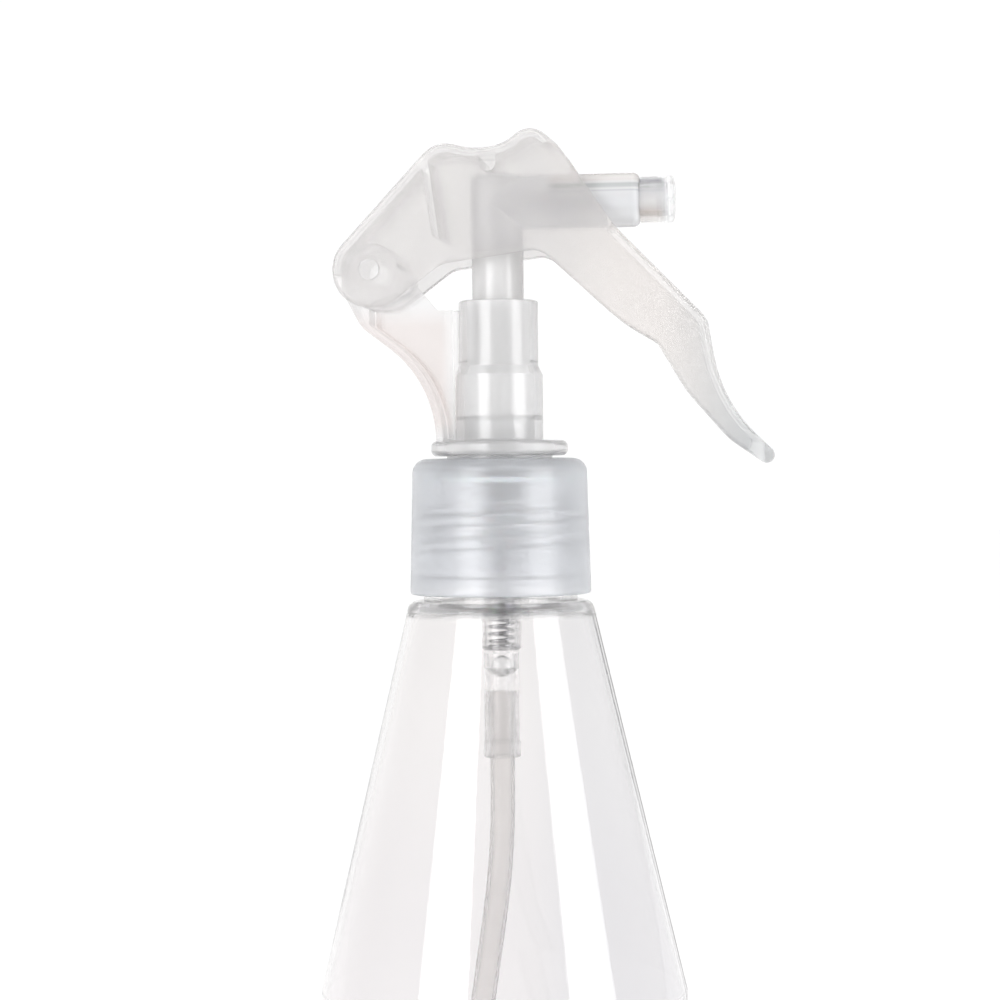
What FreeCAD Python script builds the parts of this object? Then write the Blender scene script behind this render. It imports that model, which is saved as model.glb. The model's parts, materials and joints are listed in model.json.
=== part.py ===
"""Conical spray bottle with a mini trigger sprayer, in millimetres.

The origin is the middle of the bottle's standing ring, +Z is up and +X is the way the nozzle points.
The bottle is drawn from its foot. Every piece of the sprayer is drawn from the closure's lower rim,
and its Placement lifts it to closure_base.
"""

import FreeCAD, Part
import Sketcher
import math
import os
import re

SIZES = {
    # bottle
    "closure_base": 120.0,  # height of the closure's lower rim over the ground
    "body_radius": 33.25,
    "cone_base": 48.5,  # where the straight lower wall turns into the cone
    "shoulder_height": 118.8,
    "shoulder_radius": 16.65,
    "bead_radius": 14.0,
    "neck_radius": 12.55,
    "neck_bore": 10.9,
    "neck_top": 140.2,
    "bottle_wall": 1.0,
    # screw thread shared by the neck and the closure
    "thread_pitch": 4.233,
    "thread_turns": 2.25,
    "thread_start": 8.3,  # lower end of the neck's thread over the closure's rim
    "neck_thread_radius": 13.65,
    "closure_thread_radius": 12.95,
    # closure
    "closure_bore": 14.2,
    "closure_hole": 10.0,
    "closure_top": 24.5,
    "panel_under": 22.9,
    # pump
    "flange_radius": 12.4,
    "flange_under": 21.1,
    "collar_base": 22.1,
    "gasket_under": 20.25,
    "cylinder_bore": 4.1,
    "spring_bore": 2.75,
    "spring_seat": -10.2,
    "chamber_bore": 2.3,
    "ball_radius": 1.95,
    "ball_height": -13.26,
    "tube_radius": 2.2,
    "tube_bore": 1.6,
    "tube_top": -17.75,
    "housing_foot": -29.7,
    "stem_radius": 2.35,
    "stem_bore": 1.2,
    "stem_foot": 12.0,
    "stem_top": 52.4,
    "plug_seat": 8.6,  # where the spring pushes on the stem's plug
    "wire_radius": 0.28,
    "coil_radius": 2.1,
    "spring_turns": 15,
    # bracket
    "sleeve_top": 53.0,
    "sleeve_radius": 7.2,
    "sleeve_base_radius": 8.0,
    "arm_half_width": 6.5,
    "web_half": 0.9,
    "band": 1.3,
    "hub_half_width": 6.8,
    "pivot_x": -22.3,
    "pivot_z": 58.6,
    "trunnion_radius": 1.83,
    # actuator and nozzle
    "head_top": 75.75,
    "post_radius": 4.7,
    "post_foot": 41.5,
    "barrel_radius": 4.85,
    "barrel_height": 70.8,
    "barrel_end": 26.0,
    "outlet_bore": 1.6,
    "spigot_radius": 3.0,
    "spigot_end": 30.9,
    "tip_radius": 4.2,
    "tip_end": 32.3,
    # trigger lever
    "lever_half_width": 8.4,
    "lever_top_wall": 1.5,
    "lever_side_wall": 1.3,
    "lever_edge": 1.0,  # rounding round both sides of the lever
    "pivot_hole": 1.9,
}

WORD = re.compile(r"[a-z][a-z_]+")

doc = FreeCAD.newDocument("spray_bottle")
sheet = doc.addObject("Spreadsheet::Sheet", "Sizes")
for row, (alias, size) in enumerate(SIZES.items(), start=1):
    sheet.set(f"A{row}", alias)
    sheet.set(f"B{row}", str(size))
    sheet.setAlias(f"B{row}", alias)
doc.recompute()


def linked(size):
    """The expression for a size, with the sheet's name before each alias."""
    return WORD.sub(lambda word: ("Sizes." if word.group(0) in SIZES else "") + word.group(0), str(size))


def number(size):
    """The number that a size comes to now."""
    return float(sheet.evalExpression(linked(size)))


def bind(thing, prop, size):
    """Sets a property and ties it to the sheet."""
    thing.setExpression(prop, linked(size))


def new_body(name, lifted=True):
    """An empty Body, named for its file and lifted to the closure's rim."""
    body = doc.addObject("PartDesign::Body", name)
    body.Label = name
    if lifted:
        bind(body, "Placement.Base.z", "closure_base")
    return body


def new_sketch(body, role):
    """A sketch on one of the body's own origin planes."""
    sketch = body.newObject("Sketcher::SketchObject", body.Name + "_sketch")
    plane = [item for item in body.Origin.OriginFeatures if item.Role == role][0]
    sketch.AttachmentSupport = (plane, [""])
    sketch.MapMode = "FlatFace"
    return sketch


def unit(start, end):
    return (end - start).normalize()


def corner_arc(before, corner, after, radius):
    """The arc that rounds a corner: its two ends on the sides, the arc, and whether it turns left."""
    way_in = unit(before, corner)
    way_out = unit(corner, after)
    left = way_in.cross(way_out).z > 0
    back = radius * math.tan(way_in.getAngle(way_out) / 2)
    start = corner - way_in * back
    end = corner + way_out * back
    normal = FreeCAD.Vector(-way_in.y, way_in.x, 0) * (1 if left else -1)
    centre = start + normal * radius
    first, last = (start, end) if left else (end, start)
    angles = [math.atan2(point.y - centre.y, point.x - centre.x) for point in (first, last)]
    if angles[1] < angles[0]:
        angles[1] += 2 * math.pi
    arc = Part.ArcOfCircle(Part.Circle(centre, FreeCAD.Vector(0, 0, 1), radius), *angles)
    return start, end, arc, left


def draw_outline(sketch, corners):
    """Draws a closed outline. A corner is (x, y) or (x, y, rounding), with every size tied to the sheet."""
    points = [FreeCAD.Vector(number(corner[0]), number(corner[1]), 0) for corner in corners]
    count = len(corners)
    starts = list(points)
    ends = list(points)
    arcs = {}
    for index, corner in enumerate(corners):
        if len(corner) == 3:
            around = points[index - 1], points[index], points[(index + 1) % count]
            starts[index], ends[index], *arcs[index] = corner_arc(*around, number(corner[2]))
    for index in range(count):
        sketch.addGeometry(Part.LineSegment(ends[index], starts[(index + 1) % count]), False)
    rules = []
    links = []
    for index, corner in enumerate(corners):
        line_in, line_out = (index - 1) % count, index
        if index in arcs:
            arc, left = arcs[index]
            bend = sketch.addGeometry(arc, False)
            spot = sketch.addGeometry(Part.Point(points[index]), True)
            first, last = (1, 2) if left else (2, 1)
            rules.append(Sketcher.Constraint("Tangent", line_in, 2, bend, first))
            rules.append(Sketcher.Constraint("Tangent", bend, last, line_out, 1))
            rules.append(Sketcher.Constraint("PointOnObject", spot, 1, line_in))
            rules.append(Sketcher.Constraint("PointOnObject", spot, 1, line_out))
            rules.append(Sketcher.Constraint("Radius", bend, number(corner[2])))
            links.append((len(rules) - 1, corner[2]))
        else:
            spot = line_out
            rules.append(Sketcher.Constraint("Coincident", line_in, 2, line_out, 1))
        rules.append(Sketcher.Constraint("DistanceX", -1, 1, spot, 1, points[index].x))
        links.append((len(rules) - 1, corner[0]))
        rules.append(Sketcher.Constraint("DistanceY", -1, 1, spot, 1, points[index].y))
        links.append((len(rules) - 1, corner[1]))
    sketch.addConstraint(rules)
    for place, size in links:
        if isinstance(size, str):
            bind(sketch, f"Constraints[{place}]", size)


def draw_circle(sketch, x, y, radius):
    """Draws a circle whose place and radius are tied to the sheet."""
    centre = FreeCAD.Vector(number(x), number(y), 0)
    ring = sketch.addGeometry(Part.Circle(centre, FreeCAD.Vector(0, 0, 1), number(radius)), False)
    sketch.addConstraint(
        [
            Sketcher.Constraint("DistanceX", -1, 1, ring, 3, centre.x),
            Sketcher.Constraint("DistanceY", -1, 1, ring, 3, centre.y),
            Sketcher.Constraint("Radius", ring, number(radius)),
        ]
    )
    base = sketch.ConstraintCount - 3
    for offset, size in enumerate((x, y, radius)):
        if isinstance(size, str):
            bind(sketch, f"Constraints[{base + offset}]", size)


def turned(body, corners):
    """Revolves an outline, drawn on the XZ plane, about the body's Z axis."""
    sketch = new_sketch(body, "XZ_Plane")
    draw_outline(sketch, corners)
    feature = body.newObject("PartDesign::Revolution", body.Name + "_turned")
    feature.Profile = sketch
    feature.ReferenceAxis = (sketch, ["V_Axis"])
    doc.recompute()


def turned_x(body, corners):
    """Revolves an outline of (along X, radius) corners about the barrel's axis."""
    sketch = new_sketch(body, "XZ_Plane")
    bind(sketch, "AttachmentOffset.Base.y", "barrel_height")
    draw_outline(sketch, corners)
    feature = body.newObject("PartDesign::Revolution", body.Name + "_turned")
    feature.Profile = sketch
    feature.ReferenceAxis = (sketch, ["H_Axis"])
    doc.recompute()


def extruded(body, sketch, length, kind="PartDesign::Pad"):
    """Pads or pockets a sketch equally to both sides of its plane, over the whole length given."""
    feature = body.newObject(kind, body.Name + "_extruded")
    feature.Profile = sketch
    feature.Midplane = True
    bind(feature, "Length", length)
    doc.recompute()
    return feature


def slab(body, corners, length, kind="PartDesign::Pad"):
    """Pads or pockets an outline of the XZ plane equally to both sides."""
    sketch = new_sketch(body, "XZ_Plane")
    draw_outline(sketch, corners)
    return extruded(body, sketch, length, kind)


def wind(body, sketch, pitch, height):
    """Winds a sketch of the XZ plane upwards round the body's Z axis."""
    coil = body.newObject("PartDesign::AdditiveHelix", body.Name + "_coil")
    coil.Profile = sketch
    coil.ReferenceAxis = (sketch, ["V_Axis"])
    coil.Mode = 0
    bind(coil, "Pitch", pitch)
    bind(coil, "Height", height)
    doc.recompute()


def thread(body, corners):
    """Adds a screw ridge of the given section."""
    sketch = new_sketch(body, "XZ_Plane")
    draw_outline(sketch, corners)
    wind(body, sketch, "thread_pitch", "thread_pitch * thread_turns")


def flat_edges(shape, axis, place=None):
    """Names of the edges that lie in a plane square to an axis, or only of those at one place along it."""
    names = []
    for count, edge in enumerate(shape.Edges, start=1):
        low = getattr(edge.BoundBox, axis + "Min")
        high = getattr(edge.BoundBox, axis + "Max")
        if high - low < 0.01 and (place is None or abs(low - place) < 0.01):
            names.append(f"Edge{count}")
    return names


def inset(corners, gap):
    """The same outline, given clockwise, with every side moved inwards by a gap."""
    points = [FreeCAD.Vector(number(x), number(y), 0) for x, y, _ in corners]
    count = len(points)
    moved = []
    for index, (_, _, rounding) in enumerate(corners):
        way_in = unit(points[index - 1], points[index])
        way_out = unit(points[index], points[(index + 1) % count])
        right_in = FreeCAD.Vector(way_in.y, -way_in.x, 0)
        right_out = FreeCAD.Vector(way_out.y, -way_out.x, 0)
        shift = (right_in + right_out) * (gap / (1 + right_in.dot(right_out)))
        inward = way_in.cross(way_out).z < 0
        radius = max(rounding - gap, 0.4) if inward else rounding + gap
        moved.append((points[index].x + shift.x, points[index].y + shift.y, radius))
    return moved


def make_bottle():
    """One wall all round: push-up base, straight foot, cone, shoulder, bead, neck and thread."""
    body = new_body("bottle", lifted=False)
    turned(
        body,
        [
            (0, 3.6),
            (19.0, 3.6, 6.0),
            (23.5, 0, 2.0),
            ("body_radius", 0, 5.5),
            ("body_radius", "cone_base", 0.8),
            ("shoulder_radius", "shoulder_height", 1.7),
            ("bead_radius", "shoulder_height"),
            ("bead_radius", "shoulder_height + 2.4", 0.5),
            ("neck_radius", "shoulder_height + 2.4", 0.4),
            ("neck_radius", "neck_top", 0.5),
            ("neck_bore", "neck_top", 0.3),
            ("neck_bore", "shoulder_height - 1.2", 1.0),
            ("shoulder_radius - bottle_wall", "shoulder_height - 1.2", 2.0),
            ("body_radius - bottle_wall", "cone_base - 0.2", 1.8),
            ("body_radius - bottle_wall", "bottle_wall", 4.5),
            (23.9, "bottle_wall", 2.4),
            (19.4, "3.6 + bottle_wall", 6.0),
            (0, "3.6 + bottle_wall"),
        ],
    )
    low = "closure_base + thread_start"
    thread(
        body,
        [
            ("neck_radius - 0.25", f"{low} - 1.25"),
            ("neck_thread_radius", f"{low} - 0.5"),
            ("neck_thread_radius", f"{low} + 0.5"),
            ("neck_radius - 0.25", f"{low} + 1.25"),
        ],
    )
    return body


def make_closure():
    """Smooth screw cap with a hole for the bracket. Its thread is half a pitch off the neck's."""
    body = new_body("closure")
    turned(
        body,
        [
            ("closure_hole", "closure_top"),
            (15.8, "closure_top", 2.6),
            (16.45, 0, 0.5),
            (14.9, 0),
            (14.75, 3.0),
            ("closure_bore", 3.6),
            ("closure_bore", "panel_under", 0.6),
            ("closure_hole", "panel_under"),
        ],
    )
    low = "thread_start - thread_pitch / 2"
    thread(
        body,
        [
            ("closure_bore + 0.25", f"{low} - 1.2"),
            ("closure_bore + 0.25", f"{low} + 1.2"),
            ("closure_thread_radius", f"{low} + 0.5"),
            ("closure_thread_radius", f"{low} - 0.5"),
        ],
    )
    return body


def make_gasket():
    """Flat ring on the neck's rim."""
    body = new_body("neck_gasket")
    turned(
        body,
        [
            (6.0, "gasket_under"),
            ("flange_radius", "gasket_under"),
            ("flange_radius", "flange_under"),
            (6.0, "flange_under"),
        ],
    )
    return body


def make_housing():
    """Pump cylinder with its flange, spring bore, ball chamber with a conical seat, and dip tube socket."""
    body = new_body("pump_housing")
    turned(
        body,
        [
            ("cylinder_bore", "collar_base"),
            ("flange_radius", "collar_base", 0.2),
            ("flange_radius", "flange_under", 0.2),
            ("cylinder_bore + 1.2", "flange_under", 0.4),
            ("cylinder_bore + 1.2", 1.4, 1.0),
            (3.7, -0.8, 1.0),
            (3.7, "spring_seat + 0.4"),
            (3.2, "spring_seat - 0.1"),
            (3.2, "housing_foot + 2.9"),
            (3.4, "housing_foot + 2.7"),
            (3.4, "housing_foot", 0.25),
            ("tube_radius + 0.02", "housing_foot"),
            ("tube_radius + 0.02", "tube_top + 0.05"),
            (1.5, "tube_top + 0.05"),
            (1.5, -14.6),
            ("chamber_bore", -13.5),
            ("chamber_bore", "spring_seat - 0.7"),
            (1.1, "spring_seat - 0.7"),
            (1.1, "spring_seat"),
            ("spring_bore", "spring_seat"),
            ("spring_bore", 1.6, 1.0),
            ("cylinder_bore", 3.2, 1.0),
        ],
    )
    return body


def make_ball():
    """Inlet valve ball, sitting just off its cone."""
    ball = doc.addObject("Part::Sphere", "inlet_ball")
    ball.Label = "inlet_ball"
    bind(ball, "Radius", "ball_radius")
    bind(ball, "Placement.Base.z", "closure_base + ball_height")
    return ball


def make_collar():
    """Collar over the pump: guide bore for the stem, plug in the cylinder, turret in the bracket's sleeve."""
    body = new_body("pump_collar")
    turned(
        body,
        [
            ("stem_radius + 0.08", 17.6),
            ("cylinder_bore", 17.6, 0.3),
            ("cylinder_bore", "collar_base"),
            (12.0, "collar_base"),
            (12.0, "panel_under - 0.05"),
            (6.4, "panel_under - 0.05"),
            (6.4, 31.4, 0.3),
            (5.2, 31.4, 0.3),
            (5.2, 24.0, 0.4),
            ("stem_radius + 0.08", 24.0),
        ],
    )
    return body


def make_piston():
    """Ring with a lip at each end that runs in the cylinder, waisted between them."""
    body = new_body("piston")
    lip = "cylinder_bore - 0.05"
    turned(
        body,
        [
            ("stem_radius + 0.02", 11.1),
            (3.0, 11.1),
            (3.3, 12.2, 0.3),
            ("cylinder_bore - 0.5", 11.0),
            (lip, 11.0),
            (lip, 11.6),
            (3.5, 12.9, 0.3),
            (3.5, 14.3, 0.3),
            (lip, 15.5),
            (lip, 16.1),
            ("cylinder_bore - 0.5", 16.1),
            (3.0, 14.9, 0.3),
            ("stem_radius + 0.02", 14.9),
        ],
    )
    return body


def make_stem():
    """Hollow rod with a stop ring below the collar and a counterbore for its plug."""
    body = new_body("stem")
    turned(
        body,
        [
            ("stem_bore", "stem_top"),
            ("stem_radius", "stem_top", 0.3),
            ("stem_radius", 17.5),
            (3.3, 17.5),
            (3.3, 16.3),
            ("stem_radius", 16.3),
            ("stem_radius", "stem_foot"),
            (1.62, "stem_foot"),
            (1.62, 17.4),
            ("stem_bore", 17.4),
        ],
    )
    return body


def make_plug():
    """Valve head under the piston, with a split spigot up into the stem and a pin down into the spring."""
    body = new_body("stem_plug")
    turned(
        body,
        [
            (0, 3.4),
            (1.5, 3.4, 0.4),
            (1.5, "plug_seat"),
            (2.9, "plug_seat"),
            (2.9, 10.2, 0.3),
            (2.2, 11.0),
            (1.6, 11.0),
            (1.6, 17.3, 0.3),
            (0, 17.3),
        ],
    )
    slab(body, [(-0.45, 11.0), (0.45, 11.0), (0.45, 17.4), (-0.45, 17.4)], "4.0", "PartDesign::Pocket")
    return body


def make_spring():
    """Round wire wound in one coil between the housing's seat and the plug."""
    body = new_body("return_spring")
    section = new_sketch(body, "XZ_Plane")
    draw_circle(section, "coil_radius", "spring_seat + wire_radius", "wire_radius")
    rise = "plug_seat - spring_seat - 2 * wire_radius"
    wind(body, section, f"({rise}) / spring_turns", rise)
    return body


def make_dip_tube():
    """Semi-rigid tube: straight out of its socket, then two wide bends towards -X, to just over the floor."""
    body = new_body("dip_tube")
    path = new_sketch(body, "XZ_Plane")
    route = [(0, "tube_top"), (0, -47.5, 150.0), (-6.3, -90.0, 80.0), (-17.5, -112.4)]
    points = [FreeCAD.Vector(number(stop[0]), number(stop[1]), 0) for stop in route]
    here = points[0]
    for index in range(1, len(points) - 1):
        start, end, arc, _ = corner_arc(points[index - 1], points[index], points[index + 1], route[index][2])
        path.addGeometry(Part.LineSegment(here, start), False)
        path.addGeometry(arc, False)
        here = end
    path.addGeometry(Part.LineSegment(here, points[-1]), False)
    section = new_sketch(body, "XY_Plane")
    bind(section, "AttachmentOffset.Base.z", "tube_top")
    draw_circle(section, 0, 0, "tube_radius")
    draw_circle(section, 0, 0, "tube_bore")
    doc.recompute()
    pipe = body.newObject("PartDesign::AdditivePipe", "dip_tube_pipe")
    pipe.Profile = section
    pipe.Spine = path
    doc.recompute()
    return body


def make_bracket():
    """Flange disc, two-step sleeve and spigot, and a T-section arm up to a hub with two trunnions."""
    body = new_body("bracket")
    rear = [
        (-10.6, 26.0, 0.1),
        (-10.7, 38.2, 21.0),
        (-24.0, 48.3, 6.0),
        (-27.6, 55.0, 3.0),
        (-27.1, 63.4, 4.6),
        (-17.5, 63.4, 4.6),
        (-17.4, 59.0, 2.0),
        (-11.2, 51.5, 1.5),
        (-7.3, 51.5, 0.1),
        (-7.3, 26.0, 0.1),
    ]
    slab(body, rear, "2 * arm_half_width")
    inner = inset(rear, number("band"))
    side = [
        (inner[0][0], 20.0),
        inner[1],
        (-22.6, 48.8, 0.6),
        (-22.6, 52.6, 1.0),
        (-16.4, 55.0, 2.0),
        (-14.0, 62.0),
        (0, 62.0),
        (0, 20.0),
    ]
    for sign in (1, -1):
        sketch = new_sketch(body, "XZ_Plane")
        bind(sketch, "AttachmentOffset.Base.z", f"{sign} * (arm_half_width + web_half) / 2")
        draw_outline(sketch, side)
        extruded(body, sketch, "arm_half_width - web_half", "PartDesign::Pocket")
    turned(
        body,
        [
            (6.5, "panel_under"),
            (9.6, "panel_under", 0.3),
            (9.6, 25.0),
            (12.4, 25.0, 1.0),
            (12.4, 27.7, 1.0),
            ("sleeve_base_radius", 27.7, 0.4),
            ("sleeve_base_radius", 39.6, 0.5),
            ("sleeve_radius", 41.2, 0.5),
            ("sleeve_radius", "sleeve_top", 0.3),
            ("sleeve_radius - 1.1", "sleeve_top", 0.3),
            ("sleeve_radius - 1.1", 42.0, 0.2),
            ("sleeve_base_radius - 1.1", 42.0, 0.3),
            ("sleeve_base_radius - 1.1", 32.2),
            (6.5, 31.4),
        ],
    )
    for half_width, radius in (("hub_half_width", 4.7), ("lever_half_width - 0.1", "trunnion_radius")):
        sketch = new_sketch(body, "XZ_Plane")
        draw_circle(sketch, "pivot_x", "pivot_z", radius)
        extruded(body, sketch, f"2 * ({half_width})")
    return body


def make_actuator():
    """Post over the stem, closed at its head, and a barrel to the front with a spigot for the tip."""
    body = new_body("actuator")
    turned(
        body,
        [
            (0, "barrel_height"),
            (1.3, "barrel_height"),
            (1.3, "stem_top + 0.1"),
            ("stem_radius + 0.02", "stem_top + 0.1"),
            ("stem_radius + 0.02", 44.0),
            (3.05, 44.0),
            (3.05, 64.3, 0.2),
            ("post_radius - 1.1", 64.3, 0.2),
            ("post_radius - 1.1", "post_foot", 0.2),
            ("post_radius", "post_foot", 0.3),
            ("post_radius", "head_top", 0.8),
            (0, "head_top"),
        ],
    )
    barrel = new_sketch(body, "YZ_Plane")
    draw_circle(barrel, 0, "barrel_height", "barrel_radius")
    pad = body.newObject("PartDesign::Pad", "actuator_barrel")
    pad.Profile = barrel
    bind(pad, "Length", "barrel_end")
    doc.recompute()
    rounding = body.newObject("PartDesign::Fillet", "actuator_barrel_end")
    rounding.Base = (pad, flat_edges(pad.Shape, "X", number("barrel_end")))
    rounding.Radius = 1.3
    doc.recompute()
    spigot = new_sketch(body, "YZ_Plane")
    bind(spigot, "AttachmentOffset.Base.z", "barrel_end - 1")
    draw_circle(spigot, 0, "barrel_height", "spigot_radius")
    post = body.newObject("PartDesign::Pad", "actuator_spigot")
    post.Profile = spigot
    bind(post, "Length", "spigot_end - barrel_end + 1")
    doc.recompute()
    bore = new_sketch(body, "YZ_Plane")
    draw_circle(bore, 0, "barrel_height", "outlet_bore")
    cut = body.newObject("PartDesign::Pocket", "actuator_outlet")
    cut.Profile = bore
    cut.Reversed = True
    bind(cut, "Length", "spigot_end + 1")
    doc.recompute()
    return body


def make_swirl_core():
    """Rod pressed in the outlet bore, with a flat for the liquid and a cross slot in its front end."""
    body = new_body("swirl_core")
    front = "spigot_end - 0.1"
    turned_x(body, [(6.0, 0), (6.0, 1.58, 0.3), (front, 1.58, 0.2), (front, 0)])
    flat = "barrel_height + 1.1"
    slab(body, [(0, flat), (29.6, flat), (29.6, 76), (0, 76)], "4", "PartDesign::Pocket")
    low, high = "barrel_height - 0.25", "barrel_height + 0.25"
    slab(body, [(30.2, low), (32, low), (32, high), (30.2, high)], "4", "PartDesign::Pocket")
    return body


def make_tip():
    """Clear cap that turns on the spigot: dished front, spray hole, and fine grip rings near its end."""
    body = new_body("nozzle_tip")
    bore = "spigot_radius + 0.08"
    start = "barrel_end + 0.1"
    turned_x(
        body,
        [
            (start, bore),
            (start, "tip_radius - 0.1"),
            (29.2, "tip_radius - 0.1"),
            (29.4, "tip_radius - 0.3"),
            (29.7, "tip_radius"),
            (30.0, "tip_radius - 0.3"),
            (30.3, "tip_radius"),
            (30.6, "tip_radius - 0.3"),
            (30.9, "tip_radius"),
            ("tip_end - 0.4", "tip_radius", 0.5),
            ("tip_end", "tip_radius - 1.2", 0.4),
            ("tip_end", 2.2),
            ("tip_end - 0.5", 0.35),
            ("spigot_end + 0.1", 0.35),
            ("spigot_end + 0.1", bore),
        ],
    )
    return body


LEVER = [
    (-29.05, 51.85, 6.7),
    (-29.05, 61.3, 6.6),
    (-10.15, 81.4, 5.6),
    (-2.95, 79.7, 12.0),
    (2.2, 80.45, 8.0),
    (7.0, 84.25, 4.0),
    (11.9, 80.15, 10.0),
    (21.95, 65.4, 20.0),
    (37.6, 49.35, 1.6),
    (40.3, 34.15, 27.0),
    (50.2, 24.75, 1.4),
    (48.4, 22.85, 1.3),
    (41.8, 27.4, 14.0),
    (34.35, 36.0, 20.0),
    (29.1, 44.85, 1.2),
    (22.3, 48.95, 30.0),
    (8.55, 61.65, 4.5),
    (-9.3, 59.35, 5.0),
    (-19.25, 51.85, 7.0),
]  # the lever's side outline, clockwise from the corner below the pivot
LEVER_TOP = 10  # how many of its corners, after the first, belong to the closed upper side


def make_lever():
    """Hood and finger trigger in one: a rounded block, hollowed from below, with a slot for the barrel."""
    body = new_body("trigger_lever")
    outer = slab(body, LEVER, "2 * lever_half_width")
    rounding = body.newObject("PartDesign::Fillet", "trigger_lever_edges")
    rounding.Base = (outer, flat_edges(outer.Shape, "Y"))
    bind(rounding, "Radius", "lever_edge")
    doc.recompute()
    inner = inset(LEVER, number("lever_top_wall"))
    hollow = [(inner[1][0], 57.9)]
    hollow += inner[1 : LEVER_TOP]
    hollow += [(45.9, 27.1, 1.0), (42.4, 21.6), (20.0, 40.0), (0.0, 50.0), (-34.0, 44.0), (-34.0, 57.9)]
    slab(body, hollow, "2 * (lever_half_width - lever_side_wall)", "PartDesign::Pocket")
    slab(body, [(-12.9, 77.4), (-11.6, 78.6), (-9.7, 64.5), (-10.9, 64.5)], "2 * (lever_half_width - 0.6)")
    press = [(-2.3, 79.1), (0.7, 79.1), (0.7, 75.83, 1.4), (-2.3, 75.83, 1.4)]
    slab(body, press, "2 * (lever_half_width - 0.6)")
    slot = [(8.0, 65.4), (30.0, 65.4), (30.0, 80.7), (8.0, 80.7)]
    slab(body, slot, "2 * (barrel_radius + 0.5)", "PartDesign::Pocket")
    hole = new_sketch(body, "XZ_Plane")
    draw_circle(hole, "pivot_x", "pivot_z", "pivot_hole")
    extruded(body, hole, "2 * lever_half_width + 2", "PartDesign::Pocket")
    for side in (1, -1):
        corner = new_sketch(body, "XY_Plane")
        edge = f"{side} * lever_half_width"
        outside = f"{side} * (lever_half_width + 3)"
        round_off = [(37.5, edge), (49.65, edge, 5.5), (49.65, 0), (53, 0), (53, outside), (37.5, outside)]
        draw_outline(corner, round_off)
        extruded(body, corner, "200", "PartDesign::Pocket")
    return body


pieces = [
    make_bottle(),
    make_closure(),
    make_gasket(),
    make_housing(),
    make_ball(),
    make_collar(),
    make_piston(),
    make_stem(),
    make_plug(),
    make_spring(),
    make_dip_tube(),
    make_bracket(),
    make_actuator(),
    make_swirl_core(),
    make_tip(),
    make_lever(),
]
doc.recompute()

for thing in doc.Objects:
    if "Invalid" in thing.State or "Error" in thing.State:
        raise RuntimeError(f"{thing.Label} failed: {thing.State}")
os.makedirs("parts", exist_ok=True)
for piece in pieces:
    shape = piece.Shape
    if shape.isNull() or not shape.isValid() or len(shape.Solids) != 1:
        raise RuntimeError(f"{piece.Label} is not one valid solid")
    print(f"{piece.Label}: {shape.Volume:.0f} mm3")
for piece in pieces:
    piece.Shape.exportStep(f"parts/{piece.Label}.step")
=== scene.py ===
import bpy
import json
import math
from mathutils import Matrix, Vector


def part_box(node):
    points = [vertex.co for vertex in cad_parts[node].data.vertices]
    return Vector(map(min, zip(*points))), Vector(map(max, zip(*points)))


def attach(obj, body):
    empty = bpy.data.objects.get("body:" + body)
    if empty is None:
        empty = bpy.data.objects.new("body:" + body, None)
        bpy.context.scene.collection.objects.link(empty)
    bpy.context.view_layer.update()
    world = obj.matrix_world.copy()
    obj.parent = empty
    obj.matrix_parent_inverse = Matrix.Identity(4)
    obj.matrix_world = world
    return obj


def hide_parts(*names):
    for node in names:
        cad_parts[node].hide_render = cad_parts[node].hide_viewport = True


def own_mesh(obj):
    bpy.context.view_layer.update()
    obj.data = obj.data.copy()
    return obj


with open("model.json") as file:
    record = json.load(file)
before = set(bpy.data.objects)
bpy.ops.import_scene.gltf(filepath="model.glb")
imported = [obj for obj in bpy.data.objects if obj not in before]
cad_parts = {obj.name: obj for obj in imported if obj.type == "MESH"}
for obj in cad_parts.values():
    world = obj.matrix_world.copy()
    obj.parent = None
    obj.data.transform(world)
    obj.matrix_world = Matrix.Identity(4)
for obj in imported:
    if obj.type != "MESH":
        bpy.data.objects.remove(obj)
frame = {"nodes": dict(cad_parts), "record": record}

MILKY_IOR = 1.49
PALE_TINT = (0.98, 0.98, 0.98, 1)
# lowest and highest point of the actuator's barrel
BARREL_LOW, BARREL_HIGH = 0.1858, 0.1958

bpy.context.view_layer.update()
nodes = frame["nodes"]
joints = {joint["name"]: joint for joint in frame["record"]["behaviour"]["joints"]}
hinge = Vector(joints["lever_squeeze"]["pos_m"])


# ---------------------------------------------------------------- material tools


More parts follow.
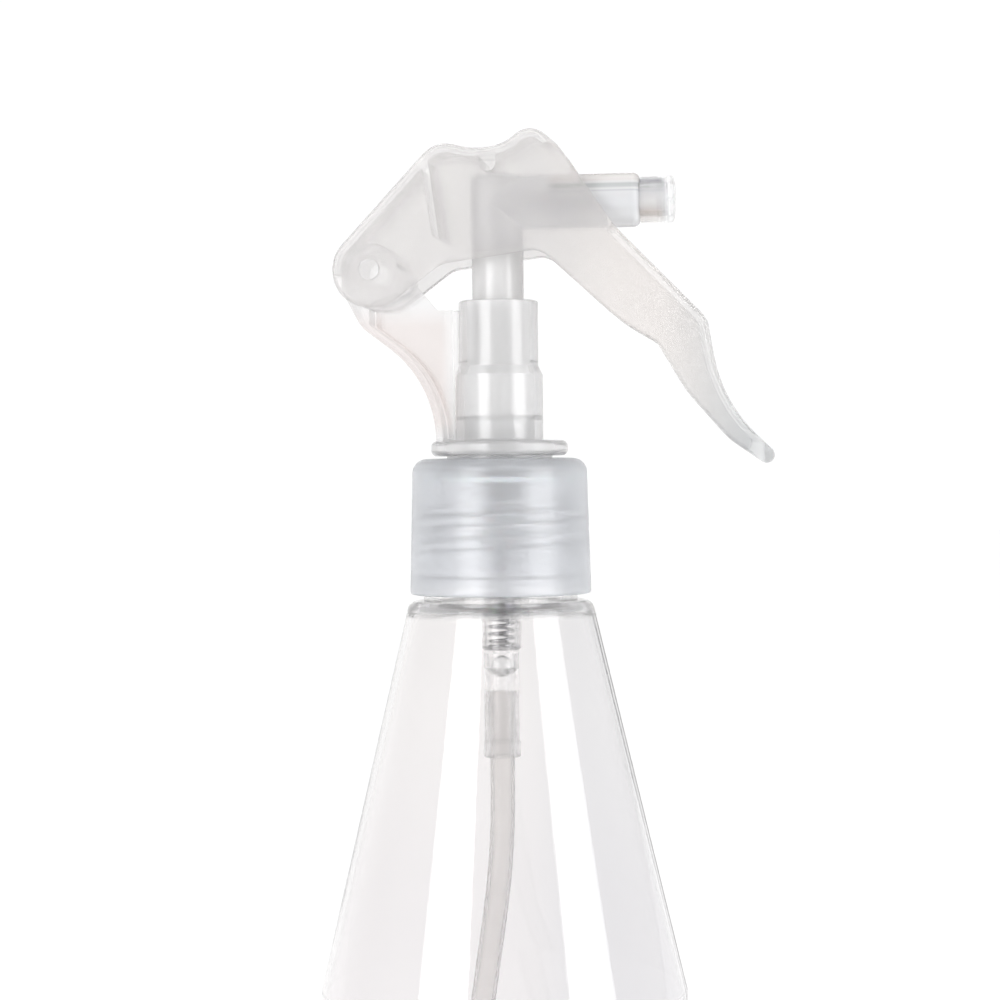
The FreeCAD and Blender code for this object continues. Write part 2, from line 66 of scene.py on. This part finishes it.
class Nodes:
    """A new node material, with short calls to add and join its nodes."""

    def __init__(self, name):
        self.material = bpy.data.materials.new(name)
        self.material.use_nodes = True
        self.tree = self.material.node_tree
        self.tree.nodes.clear()
        self.place = self.add("ShaderNodeTexCoord").outputs["Object"]

    def add(self, kind, **sockets):
        node = self.tree.nodes.new(kind)
        for name, value in sockets.items():
            self.put(node.inputs[name.replace("_", " ")], value)
        return node

    def put(self, socket, value):
        if isinstance(value, bpy.types.NodeSocket):
            self.tree.links.new(value, socket)
        else:
            socket.default_value = value

    def stretched(self, x, y, z):
        """The object's coordinates, scaled along each axis."""
        node = self.add("ShaderNodeMapping")
        node.inputs["Scale"].default_value = (x, y, z)
        self.put(node.inputs["Vector"], self.place)
        return node.outputs["Vector"]

    def noise(self, scale, detail=3.0, vector=None):
        node = self.add("ShaderNodeTexNoise", Scale=scale, Detail=detail)
        self.put(node.inputs["Vector"], vector or self.place)
        return node.outputs["Fac"]

    def between(self, factor, low, high):
        """A number that follows a factor of 0.3 to 0.7 from low to high."""
        node = self.add("ShaderNodeMapRange")
        self.put(node.inputs["Value"], factor)
        node.inputs["From Min"].default_value = 0.3
        node.inputs["From Max"].default_value = 0.7
        node.inputs["To Min"].default_value = low
        node.inputs["To Max"].default_value = high
        return node.outputs["Result"]

    def colours(self, factor, low, high):
        """A colour that follows a factor of 0.3 to 0.7 from low to high."""
        node = self.add("ShaderNodeValToRGB")
        node.color_ramp.elements[0].position = 0.3
        node.color_ramp.elements[0].color = (*low, 1)
        node.color_ramp.elements[1].position = 0.7
        node.color_ramp.elements[1].color = (*high, 1)
        self.put(node.inputs["Fac"], factor)
        return node.outputs["Color"]

    def along(self, axis, low, high):
        """0 to 1 as the object's coordinate on an axis goes from low to high."""
        parts = self.add("ShaderNodeSeparateXYZ")
        self.put(parts.inputs["Vector"], self.place)
        return self.ramped(parts.outputs[axis], low, high)

    def band(self, axis, rise_start, rise_end, fall_start, fall_end):
        """0 to 1 over the rise and back to 0 over the fall, along an axis."""
        return self.times(self.along(axis, rise_start, rise_end), self.along(axis, fall_end, fall_start))

    def out_from_axis(self, low, high):
        """0 to 1 as the distance from the bottle's axis goes from low to high."""
        length = self.add("ShaderNodeVectorMath")
        length.operation = "LENGTH"
        self.put(length.inputs[0], self.stretched(1, 1, 0))
        return self.ramped(length.outputs["Value"], low, high)

    def ramped(self, value, low, high):
        """0 to 1 as the value goes from low to high."""
        node = self.add("ShaderNodeMapRange")
        self.put(node.inputs["Value"], value)
        node.inputs["From Min"].default_value = low
        node.inputs["From Max"].default_value = high
        return node.outputs["Result"]

    def times(self, first, second):
        node = self.add("ShaderNodeMath")
        node.operation = "MULTIPLY"
        self.put(node.inputs[0], first)
        self.put(node.inputs[1], second)
        return node.outputs["Value"]

    def stripes(self, factor, stops):
        """A colour that follows a factor of 0 to 1 through the stops."""
        node = self.add("ShaderNodeValToRGB")
        while len(node.color_ramp.elements) < len(stops):
            node.color_ramp.elements.new(0.5)
        for element, (place, colour) in zip(node.color_ramp.elements, stops):
            element.position = place
            element.color = (*colour, 1)
        self.put(node.inputs["Fac"], factor)
        return node.outputs["Color"]

    def mixed(self, factor, first, second, blend="MIX"):
        node = self.add("ShaderNodeMix")
        node.data_type = "RGBA"
        node.blend_type = blend
        self.put(node.inputs["Factor"], factor)
        self.put(node.inputs["A"], first)
        self.put(node.inputs["B"], second)
        return node.outputs["Result"]

    def sum(self, first, second, share=1.0):
        node = self.add("ShaderNodeMath")
        node.operation = "MULTIPLY_ADD"
        self.put(node.inputs[0], second)
        node.inputs[1].default_value = share
        self.put(node.inputs[2], first)
        return node.outputs["Value"]

    def bump(self, height, strength, distance):
        node = self.add("ShaderNodeBump", Strength=strength, Distance=distance)
        self.put(node.inputs["Height"], height)
        return node.outputs["Normal"]

    def finish(self, shader, straight=0.0, straight_tint=None):
        """The material. With a straight tint, a share of the light goes straight through, in that tint."""
        if straight_tint:
            clear = self.add("ShaderNodeBsdfTransparent", Color=straight_tint)
            both = self.add("ShaderNodeMixShader", Fac=straight)
            self.put(both.inputs[1], shader)
            self.put(both.inputs[2], clear.outputs["BSDF"])
            shader = both.outputs["Shader"]
        output = self.add("ShaderNodeOutputMaterial")
        self.tree.links.new(shader, output.inputs["Surface"])
        return self.material


def principled(kit, **sockets):
    """A Principled shader, with its sockets given by short names."""
    names = {
        "colour": "Base Color",
        "roughness": "Roughness",
        "normal": "Normal",
        "metallic": "Metallic",
        "ior": "IOR",
        "transmission": "Transmission Weight",
        "subsurface": "Subsurface Weight",
        "scale": "Subsurface Scale",
    }
    node = kit.add("ShaderNodeBsdfPrincipled")
    for name, value in sockets.items():
        kit.put(node.inputs[names[name]], value)
    return node.outputs["BSDF"]


def clear_plastic(name, ior, low, high, rough, waves, wave_depth, straight=0.0, shade=None):
    """Clear plastic or glass: almost colourless, glossy, with long soft waves.

    The straight share is a number, or a function that adds the nodes for it. The shade paints shade into
    the tint.
    """
    kit = Nodes(name)
    flow = kit.noise(waves, 2.0, kit.stretched(1, 1, 0.25))
    fine = kit.noise(900.0, 2.0)
    tint = kit.colours(kit.noise(35.0), low, high)
    roughness = kit.between(kit.noise(160.0, 4.0), rough * 0.5, rough * 1.6)
    normal = kit.bump(kit.sum(flow, fine, 0.02), 1.0, wave_depth)
    if shade:
        tint = shade(kit, tint)
    shader = principled(kit, colour=tint, roughness=roughness, normal=normal, ior=ior, transmission=1.0)
    if callable(straight):
        return kit.finish(shader, straight(kit), PALE_TINT)
    return kit.finish(shader, straight, tint)


def milky_plastic(name, low, high, rough, through, shade=None, straight=0.0):
    """Natural polypropylene: cloudy and semi-gloss, with faint flow marks and a fine moulded grain.

    The shares that go through and straight through are numbers, or functions that add the nodes for them.
    The shade paints light and shade into the tint.
    """
    kit = Nodes(name)
    flow = kit.noise(60.0, 4.0, kit.stretched(1, 1, 0.4))
    tint = kit.colours(flow, low, high)
    if shade:
        tint = shade(kit, tint)
    roughness = kit.between(kit.noise(220.0, 4.0), rough * 0.93, rough * 1.07)
    grain = kit.noise(1400.0, 3.0)
    normal = kit.bump(kit.sum(kit.noise(90.0, 2.0), grain, 0.02), 0.6, 0.00005)
    if callable(through):
        through = through(kit)
    if callable(straight):
        straight = straight(kit)
    shader = principled(
        kit,
        colour=tint,
        roughness=roughness,
        normal=normal,
        ior=MILKY_IOR,
        transmission=through,
    )
    return kit.finish(shader, straight, tint if straight else None)


def dull_plastic(name, low, high, grain_scale):
    """Opaque white moulded plastic with a fine grain."""
    kit = Nodes(name)
    grain = kit.noise(grain_scale, 4.0)
    return kit.finish(
        principled(
            kit,
            colour=kit.colours(kit.noise(120.0), low, high),
            roughness=kit.between(grain, 0.35, 0.6),
            normal=kit.bump(grain, 0.4, 0.00005),
            subsurface=0.3,
            scale=0.002,
        )
    )


def steel(name):
    """Drawn stainless wire: bright, with fine streaks."""
    kit = Nodes(name)
    streaks = kit.noise(2500.0, 3.0, kit.stretched(1, 1, 6))
    return kit.finish(
        principled(
            kit,
            colour=kit.colours(kit.noise(300.0), (0.42, 0.42, 0.43), (0.62, 0.62, 0.63)),
            roughness=kit.between(streaks, 0.16, 0.34),
            normal=kit.bump(streaks, 0.3, 0.00002),
            metallic=1.0,
        )
    )


def bottle_painted_shade(kit, tint):
    """Painted shade: a little darker towards +X and lower down."""
    sideways = kit.mixed(kit.along("X", 0.002, 0.014), tint, (0.9, 0.895, 0.9, 1))
    return kit.mixed(kit.along("Z", 0.1, 0.064), sideways, (0.965, 0.963, 0.968, 1), "MULTIPLY")


def shoulder_haze(kit):
    """More light goes straight through the shoulder ring than through the cone and the neck."""
    return kit.times(kit.band("Z", 0.1158, 0.1163, 0.1195, 0.1199), 0.3)


def in_arm(kit):
    """0 in the sleeve and the flange, 1 in the arm."""
    return kit.times(kit.out_from_axis(0.0082, 0.0105), kit.along("Z", 0.148, 0.151))


def bracket_painted_light(kit, tint):
    """Painted light: paler and greyer in the sleeve, the flange and the hub, pinker in the arm."""
    # painted lighter tone for the sleeve, the flange and the hub
    pale = kit.colours(kit.noise(60.0), (0.937, 0.934, 0.936), (0.959, 0.956, 0.958))
    below_hub = kit.along("Z", hinge.z - 0.006, hinge.z - 0.01)
    return kit.mixed(kit.times(in_arm(kit), below_hub), pale, tint)


def bracket_straight(kit):
    """The thin arm lets more light straight through."""
    return kit.times(in_arm(kit), 0.4)


def bracket_through(kit):
    """Cloudier in the sleeve and the flange than in the thin arm."""
    return kit.ramped(in_arm(kit), -4.0, 1.5)


def in_press_rib(kit):
    """1 in the rib that presses on the actuator and on the outer walls beside it, 0 elsewhere."""
    lengthwise = kit.band("X", -0.0026, -0.002, 0.0004, 0.001)
    return kit.times(lengthwise, kit.band("Z", 0.1956, 0.196, 0.199, 0.1994))


def lever_painted_shade(kit, tint):
    """Painted shade: greyer in the hood and the lower tip, and a little darker at the press rib."""
    grey = kit.mixed(kit.along("X", 0.03, 0.045), tint, (0.8, 0.805, 0.81, 1))
    hood = kit.mixed(kit.along("X", 0.022, 0.008), grey, (0.966, 0.972, 0.978, 1), "MULTIPLY")
    # painted shade over the press rib, which otherwise shows bright
    return kit.mixed(in_press_rib(kit), hood, (0.955, 0.955, 0.955, 1), "MULTIPLY")


def lever_straight(kit):
    """The rib that presses on the actuator is clearer than the walls."""
    return kit.sum(kit.times(in_press_rib(kit), 0.2), 0.35)


def tip_painted_reflection(kit, tint):
    """A painted dark reflection line high on the tip, and a warm line low on it."""
    # painted dark reflection line and warm line along the tip's height
    lines = kit.stripes(
        kit.along("Z", BARREL_LOW, BARREL_HIGH),
        [
            (0.16, (1.0, 0.99, 0.98)),
            (0.24, (0.96, 0.92, 0.89)),
            (0.34, (1.0, 0.99, 0.98)),
            (0.74, (1.0, 1.0, 1.0)),
            (0.79, (0.55, 0.55, 0.57)),
            (0.83, (0.58, 0.58, 0.6)),
            (0.87, (1.0, 1.0, 1.0)),
        ],
    )
    striped = kit.mixed(1.0, tint, lines, "MULTIPLY")
    return kit.mixed(kit.along("X", 0.0305, 0.0295), tint, striped)


def barrel_painted_reflection_and_shade(kit, tint):
    """Painted dark reflection lines and painted shade along the upper side of the barrel, and painted shade
    that makes the post darker and warmer.
    """
    # painted dark reflection lines and painted shade on the barrel's upper side
    lines = kit.stripes(
        kit.along("Z", BARREL_LOW, BARREL_HIGH),
        [
            (0.0, (0.925, 0.93, 0.935)),
            (0.6, (0.92, 0.922, 0.935)),
            (0.63, (0.7, 0.71, 0.74)),
            (0.66, (0.94, 0.935, 0.935)),
            (0.7, (0.66, 0.68, 0.67)),
            (0.755, (0.62, 0.64, 0.63)),
            (0.79, (0.93, 0.92, 0.915)),
            (0.84, (0.9, 0.84, 0.82)),
            (0.87, (0.93, 0.89, 0.86)),
            (1.0, (0.9, 0.86, 0.81)),
        ],
    )
    striped = kit.mixed(1.0, tint, lines, "MULTIPLY")
    # painted shade that makes the post darker and warmer
    post = kit.mixed(kit.along("Z", 0.184, 0.181), tint, (0.955, 0.945, 0.935, 1), "MULTIPLY")
    return kit.mixed(kit.along("X", 0.009, 0.011), post, striped)


materials = {
    "bottle": clear_plastic(
        "clear_pet",
        ior=1.42,
        low=(0.936, 0.924, 0.922),
        high=(0.948, 0.936, 0.934),
        rough=0.012,
        waves=18.0,
        wave_depth=0.0002,
        straight=shoulder_haze,
        shade=bottle_painted_shade,
    ),
    "pump_housing": clear_plastic(
        "clear_pump_body",
        ior=1.46,
        low=(0.985, 0.985, 0.988),
        high=(0.995, 0.995, 0.996),
        rough=0.1,
        waves=60.0,
        wave_depth=0.0001,
        straight=0.3,
    ),
    "inlet_ball": clear_plastic(
        "glass_ball",
        ior=1.52,
        low=(0.84, 0.85, 0.85),
        high=(0.9, 0.91, 0.91),
        rough=0.02,
        waves=200.0,
        wave_depth=0.00002,
    ),
    "nozzle_tip": milky_plastic(
        "milky_tip",
        low=(0.975, 0.975, 0.978),
        high=(0.99, 0.99, 0.992),
        rough=0.15,
        through=0.7,
        shade=tip_painted_reflection,
        straight=0.55,
    ),
    "closure": milky_plastic(
        "milky_closure",
        low=(0.893, 0.908, 0.936),
        high=(0.933, 0.945, 0.966),
        rough=0.315,
        through=0.79,
        straight=0.17,
    ),
    "bracket": milky_plastic(
        "milky_bracket",
        low=(0.892, 0.857, 0.847),
        high=(0.918, 0.882, 0.872),
        rough=0.19,
        through=bracket_through,
        shade=bracket_painted_light,
        straight=bracket_straight,
    ),
    "trigger_lever": milky_plastic(
        "milky_lever",
        low=(0.915, 0.9, 0.892),
        high=(0.943, 0.928, 0.92),
        rough=0.235,
        through=0.88,
        shade=lever_painted_shade,
        straight=lever_straight,
    ),
    "actuator": milky_plastic(
        "milky_actuator",
        low=(0.915, 0.918, 0.93),
        high=(0.94, 0.943, 0.952),
        rough=0.235,
        through=0.5,
        shade=barrel_painted_reflection_and_shade,
    ),
    "pump_collar": milky_plastic(
        "milky_collar",
        low=(0.945, 0.95, 0.965),
        high=(0.965, 0.97, 0.98),
        rough=0.235,
        through=0.7,
    ),
    "stem": milky_plastic(
        "milky_stem",
        low=(0.9, 0.9, 0.9),
        high=(0.94, 0.94, 0.94),
        rough=0.235,
        through=0.35,
    ),
    "dip_tube": milky_plastic(
        "milky_tube",
        low=(0.98, 0.97, 0.962),
        high=(0.997, 0.987, 0.979),
        rough=0.2,
        through=0.92,
    ),
    "piston": dull_plastic("white_piston", (0.82, 0.82, 0.81), (0.88, 0.88, 0.87), 1100.0),
    "stem_plug": dull_plastic("white_plug", (0.78, 0.78, 0.78), (0.86, 0.86, 0.86), 1100.0),
    "swirl_core": dull_plastic("white_core", (0.8, 0.8, 0.8), (0.87, 0.87, 0.87), 1100.0),
    "neck_gasket": dull_plastic("foam_gasket", (0.78, 0.78, 0.76), (0.87, 0.87, 0.85), 2600.0),
}
wire_steel = steel("steel_wire")


def dress(thing, material):
    thing.data.materials.clear()
    thing.data.materials.append(material)


for name, material in materials.items():
    dress(nodes[name], material)


# ---------------------------------------------------------------- return spring


def coil(name, low, high, radius, wire, end_turns, turns):
    """A compression spring whose end turns lie close, as a tube mesh."""
    around, steps = 10, 40
    end_gap = 0.00006
    close = 2 * wire + end_gap
    open_pitch = (high - low - 2 * wire - 2 * end_turns * close) / (turns - 2 * end_turns)
    heights = [0.0]
    for step in range(int(turns * steps)):
        turn = (step + 0.5) / steps
        share = min(max(min(turn, turns - turn) - end_turns + 0.5, 0), 1)
        share *= share * (3 - 2 * share)
        heights.append(heights[-1] + (close + (open_pitch - close) * share) / steps)
    stretch = (high - low - 2 * wire) / heights[-1]
    points = []
    for step, height in enumerate(heights):
        angle = 2 * math.pi * step / steps
        level = low + wire + height * stretch
        points.append(Vector((radius * math.cos(angle), radius * math.sin(angle), level)))
    corners, faces = [], []
    for step, point in enumerate(points):
        before, after = points[max(step - 1, 0)], points[min(step + 1, len(points) - 1)]
        along = (after - before).normalized()
        outward = Vector((point.x, point.y, 0)).normalized()
        outward = (outward - along * outward.dot(along)).normalized()
        upward = along.cross(outward)
        for part in range(around):
            turn = 2 * math.pi * part / around
            corners.append(point + (outward * math.cos(turn) + upward * math.sin(turn)) * wire)
    for step in range(len(points) - 1):
        for part in range(around):
            first, second = step * around + part, step * around + (part + 1) % around
            faces.append((first, second, second + around, first + around))
    faces.append(tuple(reversed(range(around))))
    faces.append(tuple(range(len(corners) - around, len(corners))))
    mesh = bpy.data.meshes.new(name)
    mesh.from_pydata(corners, [], faces)
    mesh.update()
    for face in mesh.polygons:
        face.use_smooth = True
    thing = bpy.data.objects.new(name, mesh)
    bpy.context.scene.collection.objects.link(thing)
    return thing


spring_low, spring_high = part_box("return_spring")
wire_radius = 0.00028
spring = coil(
    "return_spring_wire",
    low=spring_low.z,
    high=spring_high.z,
    radius=spring_high.x - wire_radius,
    wire=wire_radius,
    end_turns=1.2,
    turns=15,
)
dress(spring, wire_steel)
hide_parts("return_spring")
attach(spring, "sprayer")
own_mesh(spring)


# ---------------------------------------------------------------- room, lights and camera


def plain(name, colour, glow):
    """A matte surface with a little light of its own."""
    kit = Nodes(name)
    shader = kit.add("ShaderNodeBsdfPrincipled")
    shader.inputs["Base Color"].default_value = (*colour, 1)
    shader.inputs["Roughness"].default_value = 0.9
    shader.inputs["Specular IOR Level"].default_value = 0.1
    shader.inputs["Emission Color"].default_value = (1, 1, 1, 1)
    shader.inputs["Emission Strength"].default_value = glow
    return kit.finish(shader.outputs["BSDF"])


bpy.ops.mesh.primitive_circle_add(vertices=128, radius=6.0, fill_type="NGON", location=(0, 0, 0))
floor = bpy.context.object
floor.name = "floor"
floor.data.materials.append(plain("pale_floor", (0.25, 0.25, 0.25), 0.88))

world = bpy.data.worlds.new("studio")
bpy.context.scene.world = world
world.use_nodes = True
tree = world.node_tree
tree.nodes.clear()
direction = tree.nodes.new("ShaderNodeTexCoord").outputs["Generated"]
split = tree.nodes.new("ShaderNodeSeparateXYZ")
tree.links.new(direction, split.inputs["Vector"])


def ramp(value, stops):
    """A grey that follows a value from -1 to 1 through the stops."""
    spread = tree.nodes.new("ShaderNodeMapRange")
    spread.inputs["From Min"].default_value = -1
    tree.links.new(value, spread.inputs["Value"])
    node = tree.nodes.new("ShaderNodeValToRGB")
    node.color_ramp.interpolation = "EASE"
    while len(node.color_ramp.elements) < len(stops):
        node.color_ramp.elements.new(0.5)
    for element, (place, grey) in zip(node.color_ramp.elements, stops):
        element.position = (place + 1) / 2
        element.color = (grey, grey, grey, 1)
    tree.links.new(spread.outputs["Result"], node.inputs["Fac"])
    return node.outputs["Color"]


def times(first, second):
    """The product of two greys."""
    node = tree.nodes.new("ShaderNodeMix")
    node.data_type = "RGBA"
    node.blend_type = "MULTIPLY"
    node.inputs["Factor"].default_value = 1
    tree.links.new(first, node.inputs["A"])
    tree.links.new(second, node.inputs["B"])
    return node.outputs["Result"]


behind = ramp(split.outputs["Y"], [(-1, 0.4), (-0.1, 0.43), (0.7, 1.0), (1, 1.0)])
height = ramp(split.outputs["Z"], [(-1, 1.0), (0.3, 1.0), (0.75, 0.75), (1, 0.7)])
side = ramp(split.outputs["X"], [(-1, 1.0), (0.12, 1.0), (0.6, 0.8), (1, 0.78)])
sky = tree.nodes.new("ShaderNodeBackground")
sky.inputs["Strength"].default_value = 1.03
tree.links.new(times(times(behind, height), side), sky.inputs["Color"])
tree.links.new(sky.outputs["Background"], tree.nodes.new("ShaderNodeOutputWorld").inputs["Surface"])


def softbox(name, azimuth, elevation, distance, width, height, power):
    """A rectangular soft light that faces the bottle. The azimuth is measured from +X towards +Y."""
    light = bpy.data.lights.new(name, "AREA")
    light.shape = "RECTANGLE"
    light.size = width
    light.size_y = height
    light.energy = power
    thing = bpy.data.objects.new(name, light)
    bpy.context.scene.collection.objects.link(thing)
    turn, rise = math.radians(azimuth), math.radians(elevation)
    aim = Vector((0, 0, 0.12))
    offset = Vector((math.cos(turn) * math.cos(rise), math.sin(turn) * math.cos(rise), math.sin(rise)))
    thing.location = aim + offset * distance
    thing.rotation_euler = (-offset).to_track_quat("-Z", "Y").to_euler()
    thing.visible_camera = False
    return thing


softbox("strip_left", -122, 12, 1.1, 0.62, 1.0, 10.5)
softbox("strip_right", -25, 12, 1.1, 0.62, 1.0, 10)
softbox("overhead", 90, 75, 1.2, 0.9, 0.9, 3)

camera = bpy.data.cameras.new("camera")
camera.lens = 82.8
camera.sensor_width = 36.0
camera.clip_start = 0.01
eye = bpy.data.objects.new("camera", camera)
bpy.context.scene.collection.objects.link(eye)
eye_place = (0.056, -0.4142, 0.1406)
azimuth, pitch, roll = math.radians(-82.3), math.radians(0.5), math.radians(-0.55)
look = Vector((-math.cos(azimuth), -math.sin(azimuth), -math.tan(pitch))).normalized()
facing = look.to_track_quat("-Z", "Y").to_matrix().to_4x4()
eye.matrix_world = Matrix.Translation(eye_place) @ facing @ Matrix.Rotation(roll, 4, "Z")
bpy.context.scene.camera = eye

bpy.context.scene.view_settings.view_transform = "Standard"
